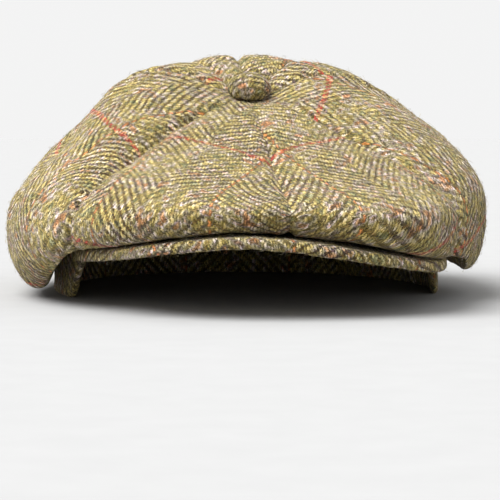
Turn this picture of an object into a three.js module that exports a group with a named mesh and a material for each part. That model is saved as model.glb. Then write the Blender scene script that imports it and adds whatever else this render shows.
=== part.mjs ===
// A soft, full flat cap with an eight-panel crown, in millimetres, +Z up.
// It rests on the rim of its headband, with the peak toward -Y. Left and right in the names of the
// pieces are as seen by someone who faces the peak, so right is toward +X.
// The crown is eight gores of tweed. They meet under a covered button, run down and out over a full
// roll, fold under, and are gathered onto the headband. The front roll lies on a small stiff peak.

import * as THREE from 'three';

const { degToRad, lerp, smoothstep, euclideanModulo } = THREE.MathUtils;
const FULL_TURN = 2 * Math.PI;

// ---------------------------------------------------------------- driving dimensions

const CLOTH = 2;            // wall of the crown: tweed with its turned seams
const GAP = 0.3;            // what neighbouring pieces keep between them

const PANEL_NAMES = [       // the gores, in order round from the middle of the front
  'crown_front_right',
  'crown_side_front_right',
  'crown_side_back_right',
  'crown_back_right',
  'crown_back_left',
  'crown_side_back_left',
  'crown_side_front_left',
  'crown_front_left',
];
const PANEL_STEPS = 6;      // facets across a gore
const STRETCH_STEPS = [7, 6, 5, 5];  // facets along its four stretches, from the button to the band

const BUTTON_AXIS_Y = -15;  // the gores meet on this upright axis, a little forward of the middle
const APEX_Z = 88;          // where the top's slope meets the axis, before the button's dimple
const APEX_HOLE = 3;        // the gores stop this far from the axis, under the button
const TOP_SLOPE = 22.8;     // degrees that the top runs down toward the peak
const DIMPLE = { depth: 5, radius: 16 };  // the button's thread pulls the cloth down around it
const PUFF = 2.4;           // how far a gore swells out between its seams

const BUTTON = { radius: 9.2, height: 8.5, baseThick: 2, baseInset: 1.5, seat: 1.6 };

const BAND = { halfWidth: 79.5, halfLength: 100, wall: 3, sideTop: 31, frontTop: 46 };
const BAND_STEPS = 64;
const BAND_RISE = { from: 71, to: 60 };      // turns where its rim leaves the ground and meets the peak
const BAND_TOP_RISE = { from: 95, to: 30 };  // turns over which its top climbs to the front
const TUCK_BELOW_TOP = 3;   // the crown's gathered edge meets the band this far below the band's top

const PEAK = {
  thick: 4.5,               // board with cloth on both faces
  halfWidth: 75.5,
  middleX: -1.2,            // sewn on a touch to one side
  tipY: -148,
  rootY: -45,               // where its two horns run out along the band
  squareness: 2.5,          // 2 is an ellipse, more has fuller corners
  tipZ: 26.5,               // its underside at the tip
  archMiddleX: -18,         // it is curved across, highest a little to one side
  arch: 0.013,
  archPower: 1.6,
  rise: 0.04,               // it climbs toward the band
  twist: 0.0006,            // and climbs more on the +X side
  hornShare: 0.97,          // its edge is cut square this far along to the horn
  steps: 24,
  rows: 5,
};
const PEAK_CLEARANCE = { ledge: 0.1, slope: 250, behindSlope: 1.2 };  // how the crown drops off past its edge

// ---------------------------------------------------------------- the crown's sections

// Upright sections through the button's axis, by turn from the front in degrees, toward +X.
// The shoulder is a point on the upper face, by its distance out, its height and its fall in degrees.
// full is how far down the roll the fullness above the reach is carried.
const TOP_SECTIONS = [
  { turn: 0, shoulder: 98, shoulderZ: 50, fall: 15, full: 0.35 },
  { turn: 22.5, shoulder: 96, shoulderZ: 49.5, fall: 17, full: 0.35 },
  { turn: 45, shoulder: 80, shoulderZ: 58, fall: 26, full: 0.4 },
  { turn: 67.5, shoulder: 68, shoulderZ: 68, fall: 31, full: 0.5 },
  { turn: 90, shoulder: 64, shoulderZ: 77.5, fall: 32, full: 0.5 },
  { turn: 112.5, shoulder: 60, shoulderZ: 88, fall: 29, full: 0.45 },
  { turn: 135, shoulder: 52, shoulderZ: 96, fall: 16, full: 0.4 },
  { turn: 157.5, shoulder: 50, shoulderZ: 98.5, fall: 12, full: 0.4 },
  { turn: 180, shoulder: 50, shoulderZ: 99.5, fall: 12, full: 0.4 },
  { turn: 202.5, shoulder: 50, shoulderZ: 96.5, fall: 13, full: 0.4 },
  { turn: 225, shoulder: 52, shoulderZ: 92.5, fall: 22, full: 0.4 },
  { turn: 247.5, shoulder: 60, shoulderZ: 87, fall: 38, full: 0.4 },
  { turn: 270, shoulder: 62, shoulderZ: 77, fall: 38, full: 0.4 },
  { turn: 292.5, shoulder: 68, shoulderZ: 67, fall: 32, full: 0.4 },
  { turn: 315, shoulder: 82, shoulderZ: 57.5, fall: 24, full: 0.35 },
  { turn: 337.5, shoulder: 97, shoulderZ: 51, fall: 16, full: 0.35 },
];

// The roll at the same turns. reach is its outermost point and fold its lowest, foldIn nearer the axis.
// hang is how far down below the reach the roll hangs straight.
const ROLL_SECTIONS = [
  { turn: 0, reach: 130, reachZ: 39, hang: 0.65, foldIn: 9, foldZ: 31 },
  { turn: 22.5, reach: 129, reachZ: 35, hang: 0.65, foldIn: 8, foldZ: 24 },
  { turn: 45, reach: 107, reachZ: 34, hang: 0.7, foldIn: 8, foldZ: 14 },
  { turn: 67.5, reach: 99.5, reachZ: 38, hang: 0.8, foldIn: 7, foldZ: 11 },
  { turn: 90, reach: 99.5, reachZ: 38, hang: 0.8, foldIn: 7, foldZ: 10 },
  { turn: 112.5, reach: 105, reachZ: 39, hang: 0.75, foldIn: 9, foldZ: 11 },
  { turn: 135, reach: 120, reachZ: 40, hang: 0.65, foldIn: 12, foldZ: 11 },
  { turn: 157.5, reach: 131, reachZ: 42, hang: 0.65, foldIn: 11, foldZ: 12 },
  { turn: 180, reach: 134, reachZ: 42, hang: 0.65, foldIn: 10, foldZ: 12 },
  { turn: 202.5, reach: 131, reachZ: 40, hang: 0.65, foldIn: 11, foldZ: 11 },
  { turn: 225, reach: 119, reachZ: 35, hang: 0.6, foldIn: 12, foldZ: 8 },
  { turn: 247.5, reach: 105, reachZ: 30, hang: 0.5, foldIn: 11, foldZ: 4.5 },
  { turn: 270, reach: 101.5, reachZ: 28, hang: 0.5, foldIn: 11, foldZ: 3.5 },
  { turn: 292.5, reach: 105, reachZ: 28, hang: 0.5, foldIn: 11, foldZ: 7 },
  { turn: 315, reach: 115, reachZ: 32, hang: 0.6, foldIn: 10, foldZ: 20 },
  { turn: 337.5, reach: 128, reachZ: 37, hang: 0.65, foldIn: 9, foldZ: 28 },
];

// The turns of the eight seams, in degrees: where they leave the button, where they cross the top's
// crest, and round the rim.
const SEAMS = [
  { tip: 0, crest: 0, rim: 0 },
  { tip: 45, crest: 40, rim: 45 },
  { tip: 100, crest: 110, rim: 102 },
  { tip: 140, crest: 144, rim: 145 },
  { tip: 180, crest: 180, rim: 180 },
  { tip: 222, crest: 210, rim: 213 },
  { tip: 262, crest: 246, rim: 256 },
  { tip: 315, crest: 312, rim: 315 },
];
const CREST_STRETCH = 0.5;
const RIM_STRETCH = 1.7;

// Hollows where the cloth sinks or is drawn in, by turn and stretch, with how far each spreads.
const HOLLOWS = [
  { turn: 0, stretch: 2.3, deep: 2, turnSpread: 7, stretchSpread: 0.5 },
  { turn: 46, stretch: 1.5, deep: 1.5, turnSpread: 5, stretchSpread: 0.5 },
  { turn: 84, stretch: 1.7, deep: 1.5, turnSpread: 12, stretchSpread: 0.25 },
  { turn: 256, stretch: 1.42, deep: 6.5, turnSpread: 20, stretchSpread: 0.22 },
  { turn: 314, stretch: 0.9, deep: 2.5, turnSpread: 5, stretchSpread: 0.5 },
];

// A column of a table of sections at any turn, smooth all round.
function sectionValue(sections, column, turn) {
  const count = sections.length;
  const place = euclideanModulo((turn / FULL_TURN) * count, count);
  const row = Math.floor(place);
  const t = place - row;
  const value = (step) => sections[(row + step + count) % count][column];
  const [a, b, c, d] = [value(-1), value(0), value(1), value(2)];
  return b + 0.5 * t * (c - a + t * (2 * a - 5 * b + 4 * c - d + t * (3 * (b - c) + d - a)));
}

// ---------------------------------------------------------------- band and peak

const outward = (turn) => new THREE.Vector2(Math.sin(turn), -Math.cos(turn));

// A point on the headband's oval, this far outside its inner face.
function bandPoint(turn, offset) {
  const x = (BAND.halfWidth + offset) * Math.sin(turn);
  const y = -(BAND.halfLength + offset) * Math.cos(turn);
  return new THREE.Vector2(x, y);
}

// 0 round the back, 1 across the front, changing smoothly between two turns given in degrees.
function frontShare(turn, { from, to }) {
  return smoothstep(Math.cos(turn), Math.cos(degToRad(from)), Math.cos(degToRad(to)));
}

function peakUnderside(x, y) {
  const climb = (PEAK.rise + PEAK.twist * x) * (y - PEAK.tipY);
  const curve = PEAK.arch * Math.abs(x - PEAK.archMiddleX) ** PEAK.archPower;
  return PEAK.tipZ - curve + climb;
}

function bandBottom(turn) {
  const { x, y } = bandPoint(turn, BAND.wall);
  return frontShare(turn, BAND_RISE) * peakUnderside(x, y);
}

function bandTop(turn) {
  return lerp(BAND.sideTop, BAND.frontTop, frontShare(turn, BAND_TOP_RISE));
}

// The crown's gathered edge: where the upright plane at this turn meets the band's outer face.
function tuckPoint(turn) {
  const way = outward(turn);
  const halfWidth = BAND.halfWidth + BAND.wall + GAP;
  const halfLength = BAND.halfLength + BAND.wall + GAP;
  const a = (way.x / halfWidth) ** 2 + (way.y / halfLength) ** 2;
  const b = (way.y * BUTTON_AXIS_Y) / halfLength ** 2;
  const c = (BUTTON_AXIS_Y / halfLength) ** 2 - 1;
  const distance = (-b + Math.sqrt(b * b - a * c)) / a;
  const x = way.x * distance;
  const y = BUTTON_AXIS_Y + way.y * distance;
  const ovalTurn = Math.atan2(x / halfWidth, -y / halfLength);
  return new THREE.Vector2(distance, bandTop(ovalTurn) - TUCK_BELOW_TOP);
}

// The lowest that the crown can hang at a plan point. Over the peak it lies on the peak, and past the
// peak's edge it can hang down in front of it.
function peakRest(x, y) {
  const across = Math.abs((x - PEAK.middleX) / PEAK.halfWidth) ** PEAK.squareness;
  const along = Math.max(0, (y - PEAK.rootY) / (PEAK.tipY - PEAK.rootY)) ** PEAK.squareness;
  const past = (across + along) ** (1 / PEAK.squareness) - 1;
  const beyond = PEAK_CLEARANCE.slope * Math.max(0, past - PEAK_CLEARANCE.ledge);
  const behind = PEAK_CLEARANCE.behindSlope * Math.max(0, y - PEAK.rootY);
  return peakUnderside(x, y) + PEAK.thick + GAP - beyond - behind;
}

// ---------------------------------------------------------------- walls as closed meshes

// Closes a wall between two grids of points, face[i][j] and back[i][j]. A ring has no ends.
function wallGeometry(face, back, ring) {
  const rows = face.length;
  const columns = face[0].length;
  const points = [...face.flat(), ...back.flat()].flatMap((point) => point.toArray());
  const at = (side, i, j) => side * rows * columns + (i % rows) * columns + j;
  const index = [];
  const quad = (a, b, c, d) => index.push(a, b, c, a, c, d);
  const lastColumn = columns - 1;
  const lastRow = rows - 1;
  const spans = ring ? rows : lastRow;
  for (let i = 0; i < spans; i++) {
    for (let j = 0; j < lastColumn; j++) {
      quad(at(0, i, j), at(0, i, j + 1), at(0, i + 1, j + 1), at(0, i + 1, j));
      quad(at(1, i, j), at(1, i + 1, j), at(1, i + 1, j + 1), at(1, i, j + 1));
    }
    quad(at(0, i, 0), at(0, i + 1, 0), at(1, i + 1, 0), at(1, i, 0));
    quad(at(0, i, lastColumn), at(1, i, lastColumn), at(1, i + 1, lastColumn), at(0, i + 1, lastColumn));
  }
  if (!ring) {
    for (let j = 0; j < lastColumn; j++) {
      quad(at(0, 0, j), at(1, 0, j), at(1, 0, j + 1), at(0, 0, j + 1));
      quad(at(0, lastRow, j), at(0, lastRow, j + 1), at(1, lastRow, j + 1), at(1, lastRow, j));
    }
  }
  const geometry = new THREE.BufferGeometry();
  geometry.setAttribute('position', new THREE.Float32BufferAttribute(points, 3));
  geometry.setIndex(index);
  geometry.computeVertexNormals();
  return geometry;
}

function clothMesh(name, geometry, color) {
  const material = new THREE.MeshStandardMaterial({ color, roughness: 0.95, metalness: 0 });
  const mesh = new THREE.Mesh(geometry, material);
  mesh.name = name;
  return mesh;
}

// ---------------------------------------------------------------- the crown

// The section's four curves in its own upright plane: x is the distance out and y the height.
// They run from the button over the shoulder, the reach and the fold to the band.
function sectionCurves(turn) {
  const top = (column) => sectionValue(TOP_SECTIONS, column, turn);
  const roll = (column) => sectionValue(ROLL_SECTIONS, column, turn);
  const apexSlope = -Math.tan(degToRad(TOP_SLOPE)) * Math.cos(turn);
  const shoulderSlope = -Math.tan(degToRad(top('fall')));
  const apex = new THREE.Vector2(APEX_HOLE, APEX_Z + apexSlope * APEX_HOLE);
  const shoulder = new THREE.Vector2(top('shoulder'), top('shoulderZ'));
  const reach = new THREE.Vector2(roll('reach'), roll('reachZ'));
  const fold = new THREE.Vector2(reach.x - roll('foldIn'), roll('foldZ'));
  const tuck = tuckPoint(turn);
  const from = (point, dx, dy) => new THREE.Vector2(point.x + dx, point.y + dy);
  const inner = (shoulder.x - apex.x) / 3;
  const outer = (reach.x - shoulder.x) / 2;
  const under = fold.x - tuck.x;
  const curve = (...points) => new THREE.CubicBezierCurve(...points);
  return [
    curve(
      apex,
      from(apex, inner, inner * apexSlope),
      from(shoulder, -inner, -inner * shoulderSlope),
      shoulder,
    ),
    curve(
      shoulder,
      from(shoulder, outer, outer * shoulderSlope),
      from(reach, 0, (shoulder.y - reach.y) * top('full')),
      reach,
    ),
    curve(
      reach,
      from(reach, 0, (fold.y - reach.y) * roll('hang')),
      from(fold, (reach.x - fold.x) * 0.55, 0),
      fold,
    ),
    curve(
      fold,
      from(fold, -under * 0.6, 0),
      from(tuck, under * 0.4, 0),
      tuck,
    ),
  ];
}

// The turn of a seam. Seams bend on their way out from the button.
function seamTurn(number, stretch) {
  const { tip, crest, rim } = SEAMS[number % SEAMS.length];
  const nearCrest = lerp(tip, crest, smoothstep(stretch, 0, CREST_STRETCH));
  const turn = lerp(nearCrest, rim, smoothstep(stretch, CREST_STRETCH, RIM_STRETCH));
  return degToRad(turn) + Math.floor(number / SEAMS.length) * FULL_TURN;
}

// The swell of a gore: none at its seams, at the button and at the fold, full round the roll.
function swell(share, stretch) {
  const across = share * 2 - 1;
  const along = smoothstep(stretch, 0, 1) * (1 - smoothstep(stretch, 2, 3));
  return PUFF * (1 - across * across) * along;
}

function hollow(turn, stretch) {
  let deep = 0;
  for (const row of HOLLOWS) {
    const away = euclideanModulo(turn - degToRad(row.turn) + Math.PI, FULL_TURN) - Math.PI;
    const across = away / degToRad(row.turnSpread);
    const along = (stretch - row.stretch) / row.stretchSpread;
    deep += row.deep * Math.exp(-(across ** 2) - along ** 2);
  }
  return deep;
}

// A point of a gore's wall: share runs across the gore, stretch from the button (0) over the
// shoulder (1), the reach (2) and the fold (3) to the band (4), and depth goes in from the face.
function crownPoint(number, share, stretch, depth) {
  const turn = lerp(seamTurn(number, stretch), seamTurn(number + 1, stretch), share);
  const curves = sectionCurves(turn);
  const piece = Math.min(Math.floor(stretch), curves.length - 1);
  const at = curves[piece].getPoint(stretch - piece);
  const tangent = curves[piece].getTangent(stretch - piece);
  const out = new THREE.Vector2(-tangent.y, tangent.x);
  at.addScaledVector(out, swell(share, stretch) - hollow(turn, stretch));
  at.y -= DIMPLE.depth * Math.exp(-((at.x / DIMPLE.radius) ** 2));
  const way = outward(turn);
  if (stretch > 2) {
    at.y = Math.max(at.y, peakRest(way.x * at.x, BUTTON_AXIS_Y + way.y * at.x));
  }
  at.addScaledVector(out, -depth);
  const sideways = share === 0 ? GAP / 2 : share === 1 ? -GAP / 2 : 0;
  const x = way.x * at.x - way.y * sideways;
  const y = BUTTON_AXIS_Y + way.y * at.x + way.x * sideways;
  return new THREE.Vector3(x, y, at.y);
}

function crownPanel(name, number) {
  const stretches = [0];
  STRETCH_STEPS.forEach((steps, piece) => {
    for (let step = 1; step <= steps; step++) stretches.push(piece + step / steps);
  });
  const wall = (depth) => {
    const rows = [];
    for (let step = 0; step <= PANEL_STEPS; step++) {
      const share = step / PANEL_STEPS;
      rows.push(stretches.map((stretch) => crownPoint(number, share, stretch, depth)));
    }
    return rows;
  };
  return clothMesh(name, wallGeometry(wall(0), wall(CLOTH), false), '#a8976c');
}

// ---------------------------------------------------------------- band, peak and button

function band() {
  const face = [];
  const back = [];
  for (let step = 0; step < BAND_STEPS; step++) {
    const turn = (step / BAND_STEPS) * FULL_TURN;
    const outer = bandPoint(turn, BAND.wall);
    const inner = bandPoint(turn, 0);
    const heights = [bandTop(turn), bandBottom(turn)];
    face.push(heights.map((z) => new THREE.Vector3(outer.x, outer.y, z)));
    back.push(heights.map((z) => new THREE.Vector3(inner.x, inner.y, z)));
  }
  return clothMesh('band', wallGeometry(face, back, true), '#9c8c66');
}

// The peak's outer edge, from one horn to the other, as share runs from -1 to 1.
function peakEdge(share) {
  const turn = (share * Math.PI) / 2;
  const power = 2 / PEAK.squareness;
  const out = Math.sign(share) * PEAK.halfWidth * Math.abs(Math.sin(turn)) ** power;
  const ahead = (PEAK.tipY - PEAK.rootY) * Math.abs(Math.cos(turn)) ** power;
  return new THREE.Vector2(PEAK.middleX + out, PEAK.rootY + ahead);
}

function peak() {
  const rootTurn = Math.acos(-PEAK.rootY / (BAND.halfLength + BAND.wall));
  const top = [];
  const bottom = [];
  for (let step = 0; step <= PEAK.steps; step++) {
    const share = (step / PEAK.steps) * 2 - 1;
    const root = bandPoint(share * rootTurn, BAND.wall + GAP);
    const edge = peakEdge(share * PEAK.hornShare);
    const line = [];
    for (let row = 0; row <= PEAK.rows; row++) line.push(root.clone().lerp(edge, row / PEAK.rows));
    bottom.push(line.map(({ x, y }) => new THREE.Vector3(x, y, peakUnderside(x, y))));
    top.push(line.map(({ x, y }) => new THREE.Vector3(x, y, peakUnderside(x, y) + PEAK.thick)));
  }
  return clothMesh('peak', wallGeometry(top, bottom, false), '#857552');
}

function button() {
  const { radius, height, baseThick, baseInset, seat } = BUTTON;
  const dome = new THREE.EllipseCurve(0, baseThick, radius, height - baseThick, 0, Math.PI / 2);
  const profile = [
    new THREE.Vector2(0, 0),
    new THREE.Vector2(radius - baseInset, 0),
    ...dome.getPoints(6).slice(0, -1),
    new THREE.Vector2(0, height),
  ];
  const geometry = new THREE.LatheGeometry(profile, 24);
  geometry.rotateX(Math.PI / 2);
  const mesh = clothMesh('button', geometry, '#90805c');
  mesh.rotation.x = degToRad(TOP_SLOPE);
  mesh.position.set(0, BUTTON_AXIS_Y, APEX_Z - DIMPLE.depth + GAP + seat);
  return mesh;
}

// ---------------------------------------------------------------- the cap

const cap = new THREE.Group();
PANEL_NAMES.forEach((name, number) => cap.add(crownPanel(name, number)));
cap.add(button(), peak(), band());

// The origin is the middle of the underside of the cap's box.
const middle = new THREE.Box3().setFromObject(cap).getCenter(new THREE.Vector3());
cap.position.set(-middle.x, -middle.y, 0);

export default cap;
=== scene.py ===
"""A soft, full flat cap of herringbone tweed: eight gores, a covered button, a peak and a band.

The shapes repeat the CAD model's formulas at a finer scale, in millimetres, and add what cloth
does along its seams and folds. The weave is a material, worked out from where each point of a
piece lay in the flat cloth. Left and right are as seen by someone who faces the peak, so right
is toward +X.
"""

import math

import bpy
import numpy as np
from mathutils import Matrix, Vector


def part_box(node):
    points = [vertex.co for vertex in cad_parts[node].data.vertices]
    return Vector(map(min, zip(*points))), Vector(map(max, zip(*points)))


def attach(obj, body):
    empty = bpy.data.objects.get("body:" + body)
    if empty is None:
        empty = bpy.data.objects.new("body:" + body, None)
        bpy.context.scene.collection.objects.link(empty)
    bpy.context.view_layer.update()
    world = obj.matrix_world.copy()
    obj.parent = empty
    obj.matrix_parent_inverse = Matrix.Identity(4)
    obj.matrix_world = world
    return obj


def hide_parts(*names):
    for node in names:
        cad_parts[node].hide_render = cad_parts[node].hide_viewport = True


MM = 0.001
FULL_TURN = 2 * math.pi

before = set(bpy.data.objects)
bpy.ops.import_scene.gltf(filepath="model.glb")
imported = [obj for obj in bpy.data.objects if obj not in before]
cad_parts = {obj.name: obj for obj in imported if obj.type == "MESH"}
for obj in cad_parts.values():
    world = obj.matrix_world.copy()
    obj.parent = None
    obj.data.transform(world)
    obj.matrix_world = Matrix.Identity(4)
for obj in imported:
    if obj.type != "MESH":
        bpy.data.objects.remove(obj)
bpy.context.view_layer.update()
band_low, band_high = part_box("band")
HEAD_X, HEAD_Y = ((low + high) / 2 / MM for low, high in zip(band_low[:2], band_high[:2]))


# ---- sizes, in millimetres

CLOTH = 2.0
GAP = 0.3               # between two pieces that are sewn together
SEAM_SLIT = 0.04        # half the slit that two sewn gores keep, face to face
APEX_Z = 88.0
APEX_HOLE = 3.0         # the gores stop this far from the axis, under the button
BUTTON_AXIS_Y = -15.0
TOP_SLOPE = math.radians(22.8)
DIMPLE = {"depth": 5.0, "radius": 16.0}
PUFF = 2.4              # how far the middle of a gore swells
BAND = {"half_width": 79.5, "half_length": 100.0, "wall": 3.0, "side_top": 31.0, "front_top": 46.0}
BAND_RISE = (71.0, 60.0)        # turns in degrees between which the band's lower rim rises
BAND_TOP_RISE = (95.0, 30.0)    # and its upper rim
BAND_GRID = {"round": 360, "up": 17, "over": 9}
TUCK_BELOW_TOP = 3.0    # the gores' edge on the band, below the band's upper rim
BUTTON = {
    "radius": 9.2,
    "height": 8.5,
    "base": 2.0,        # the height of its widest part
    "under": 1.6,       # how far its cover turns in below that
    "seat": 1.6,
    "cut_at": 12.65,    # where it was cut, across the cloth's ends
}
BUTTON_GRID = {"round": 160, "dome": 44, "turned_in": 12, "below": (0.6, 0.4, 0.2, 0.02)}
BUTTON_TOP_TURN = 0.985         # the dome's share of a quarter turn, short of a point at its top
PLEATS = {"count": 13, "deep": 0.28, "wander": 0.6, "wanders": 3}
PLEATS_SPREAD = (1.0, 1.35)     # along the cover from the top, in radii, where they begin
PLEATS_END = 0.5                # and how near the axis they go, in radii
PEAK = {
    "thick": 4.5,
    "half_width": 75.5,
    "middle_x": -1.2,
    "tip_y": -148.0,
    "root_y": -45.0,
    "squareness": 2.5,
    "tip_z": 26.5,
    "arch_middle_x": -18.0,
    "arch": 0.013,
    "arch_power": 1.6,
    "rise": 0.04,
    "twist": 0.0006,
    "horn_share": 0.97,
    "thins_from": 0.97,
    "thinnest": 0.02,
}
PEAK_GRID = {"along": 300, "deep": 40, "edge": 15}
PEAK_CLEARANCE = {"ledge": 0.1, "slope": 250, "behind_slope": 1.2, "softness": 1.6, "least": 0.02}

# Upright sections through the button's axis, every 22.5 degrees from the front toward +X. The
# shoulder: distance out, height, fall in degrees, and how far down the roll its fullness goes.
# The roll: its outermost point, how straight it hangs below, and its lowest fold, nearer the axis.
SECTIONS = [
    # out, z, fall, full, reach, reach_z, hang, fold_in, fold_z
    (98, 50, 15, 0.35, 130, 39, 0.65, 9, 31),
    (96, 49.5, 17, 0.35, 129, 35, 0.65, 8, 24),
    (80, 58, 26, 0.4, 107, 34, 0.7, 8, 14),
    (68, 68, 31, 0.5, 99.5, 38, 0.8, 7, 11),
    (64, 77.5, 32, 0.5, 99.5, 38, 0.8, 7, 10),
    (60, 88, 29, 0.45, 105, 39, 0.75, 9, 11),
    (52, 96, 16, 0.4, 120, 40, 0.65, 12, 11),
    (50, 98.5, 12, 0.4, 131, 42, 0.65, 11, 12),
    (50, 99.5, 12, 0.4, 134, 42, 0.65, 10, 12),
    (50, 96.5, 13, 0.4, 131, 40, 0.65, 11, 11),
    (52, 92.5, 22, 0.4, 119, 35, 0.6, 12, 8),
    (60, 87, 38, 0.4, 105, 30, 0.5, 11, 4.5),
    (62, 77, 38, 0.4, 101.5, 28, 0.5, 11, 3.5),
    (68, 67, 32, 0.4, 105, 28, 0.5, 11, 7),
    (82, 57.5, 24, 0.35, 115, 32, 0.6, 10, 20),
    (97, 51, 16, 0.35, 128, 37, 0.65, 9, 28),
]
# Seams: degrees where they leave the button, cross the top's crest, and go round the rim; and
# how deep the valley is that the cloth sinks into along them.
SEAMS = [
    # tip, crest, rim, valley
    (0, 0, 0, 0.3),
    (45, 40, 45, 0.8),
    (100, 110, 102, 0.3),
    (140, 144, 145, 0.5),
    (180, 180, 180, 0.8),
    (222, 210, 213, 0.5),
    (262, 246, 256, 0.2),
    (315, 312, 315, 1.2),
]
# A stretch says how far down a section is: 0 at the button, 1 at the shoulder, 2 at the roll's
# outermost point, 3 at its lowest fold and 4 on the band.
CREST_STRETCH = 0.5
RIM_STRETCH = 1.7
FOLD_ROUND = 0.55       # how round the lowest fold is, as shares of its two sides
TUCK_PULL = (0.6, 0.4)
# Hollows, and how far they spread each way.
HOLLOWS = [
    # turn in degrees, stretch, deep, turn_spread, stretch_spread
    (0, 2.3, 2, 7, 0.5),
    (46, 1.5, 1.5, 5, 0.5),
    (84, 1.7, 1.5, 12, 0.25),
    (256, 1.42, 6.5, 20, 0.22),
    (314, 0.9, 2.5, 5, 0.5),
]

# Gores, in order round from the middle of the front, and how each was cut from the checked cloth:
# where a red pick crosses its middle, from the button; where an orange end runs, to one side of
# it; how far the ends lean in degrees; how far the picks lean near the button, past the shoulder
# and near the rim; and 1 if the cloth was turned end for end.
GORES = [
    # name, red_at, orange_at, ends_lean, near, middle, rim, turned
    ("crown_front_right", 58, -12.8, 6, -11, -16, -26, 0),
    ("crown_side_front_right", 31, 16.7, 2, 3.5, -15, -20, 1),
    ("crown_side_back_right", 36, 12, 6, 15, 0, 0, 0),
    ("crown_back_right", 48, -8, 0, 0, 0, 0, 1),
    ("crown_back_left", 70, 12, 0, 0, 0, 0, 0),
    ("crown_side_back_left", 15, -14.6, -2, 0, 0, 0, 0),
    ("crown_side_front_left", 66.5, 15.5, -4, 0, -4, 14, 1),
    ("crown_front_left", 60, 32, 4, 14, 20, 12, 0),
]
LEAN_STATIONS = (60, 105, 145)  # from the button, where the picks' three leans hold
GORE_COLUMNS_ACROSS = 128
GORE_ROWS = [120, 60, 32, 44]   # rows along each of the four stretches
INSIDE_STEP = 4                 # the inside is this much coarser
PRESS_STEP = 4                  # so is the grid on which a gore is pressed flat
PRESS_ROUNDS = 700
PRESS_PACE = 0.22

# what cloth does beside a seam: a ditch, a lip past it, and puckers that wander along it
DITCH = {"deep": 0.9, "wide": 1.5}
LIP = {"high": 0.4, "away": 4.5, "wide": 2.4}
VALLEY_WIDE = 8
PUCKER = {"high": 0.28, "long": 8.5, "wide": 7, "wander": 2, "wander_long": 19, "seam_shift": 1.7}
SEAM_PULL_STARTS = (0.05, 0.3)  # stretches between which the seams' pull begins
SEAM_PULL_ENDS = (3.3, 3.9)
CALM_UNDER_BUTTON = (0.1, 0.6)  # and the slower unevenness


# ---- small helpers

def smoothstep(value, low, high):
    t = np.clip((value - low) / (high - low), 0, 1)
    return t * t * (3 - 2 * t)


def lerp(a, b, t):
    return a + (b - a) * t


def unit(vectors):
    return vectors / np.maximum(np.linalg.norm(vectors, axis=-1, keepdims=True), 1e-9)


def join(*parts):
    """Grids of numbers, or single numbers, as one grid of points."""
    return np.stack(np.broadcast_arrays(*parts), axis=-1)


def turns_round(count):
    return np.arange(count) / count * FULL_TURN


def running_length(points, axis):
    """Distance along a grid of points from its start, along one of its axes."""
    steps = np.linalg.norm(np.diff(points, axis=axis), axis=-1)
    start = np.zeros_like(np.take(steps, [0], axis=axis))
    return np.concatenate([start, np.cumsum(steps, axis=axis)], axis=axis)


def make_waves(seed, count, longest, shortest):
    """Random plane waves in space, between two wavelengths, whose sum is a smooth unevenness."""
    random = np.random.default_rng(seed)
    direction = unit(random.normal(size=(count, 3)))
    length = np.exp(random.uniform(np.log(shortest), np.log(longest), count))
    phase = random.uniform(0, FULL_TURN, count)
    return direction * (FULL_TURN / length)[:, None], phase


def wave_sum(points, waves):
    pull, phase = waves
    total = np.zeros(points.shape[:-1])
    for k, offset in zip(pull, phase):
        total += np.sin(points @ k + offset)
    return total / math.sqrt(len(phase))


def add_object(name, data):
    thing = bpy.data.objects.new(name, data)
    bpy.context.scene.collection.objects.link(thing)
    return thing


def mesh_object(name, vertices, faces, face_uvs, material, maps=("cloth",)):
    """A mesh from vertices and lists of faces, each list with its own count of corners.

    Vertices and cloth coordinates come in millimetres and are stored in metres.
    """
    mesh = bpy.data.meshes.new(name)
    face_uvs = [part.reshape(-1, 2).astype(np.float32) for part in face_uvs]
    sizes = np.concatenate([np.full(len(part), part.shape[1]) for part in faces])
    corners = np.concatenate([part.ravel() for part in faces])
    mesh.vertices.add(len(vertices))
    mesh.vertices.foreach_set("co", (vertices * MM).astype(np.float32).ravel())
    mesh.loops.add(len(corners))
    mesh.loops.foreach_set("vertex_index", corners.astype(np.int32))
    mesh.polygons.add(len(sizes))
    starts = np.concatenate([[0], np.cumsum(sizes)[:-1]])
    mesh.polygons.foreach_set("loop_start", starts.astype(np.int32))
    mesh.polygons.foreach_set("use_smooth", np.full(len(sizes), True))
    for map_name in maps:
        layer = mesh.uv_layers.new(name=map_name)
        layer.data.foreach_set("uv", (np.concatenate(face_uvs) * MM).ravel())
    mesh.update(calc_edges=True)
    mesh.validate()
    mesh.materials.append(material)
    return add_object(name, mesh)


def index_grid(rows, cols):
    return np.arange(rows * cols).reshape(rows, cols)


def corners_round(grid):
    """The four corners of every face between one closed row of a grid and the next row."""
    ahead = np.roll(grid, -1, axis=1)
    return np.stack([grid[:-1], grid[1:], ahead[1:], ahead[:-1]], axis=2)


def both_ends(grid):
    """The first and last closed rows of a grid, each as one face that looks outward."""
    return np.stack([grid[0], grid[-1, ::-1]])


def head_shift(points):
    return points + np.array([HEAD_X, HEAD_Y, 0.0])


# ---- the crown's shape

def at_turn(column, turn):
    """A column of a table of sections at any turn, smooth all round."""
    count = len(column)
    place = np.mod(turn / FULL_TURN * count, count)
    row = np.floor(place).astype(int)
    t = place - row
    a, b, c, d = (column[(row + step) % count] for step in (-1, 0, 1, 2))
    return b + 0.5 * t * (c - a + t * (2 * a - 5 * b + 4 * c - d + t * (3 * (b - c) + d - a)))


def band_point(turn, offset):
    """A point of the band's oval, this far outside its inner face."""
    x = (BAND["half_width"] + offset) * np.sin(turn)
    y = -(BAND["half_length"] + offset) * np.cos(turn)
    return x, y


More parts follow.
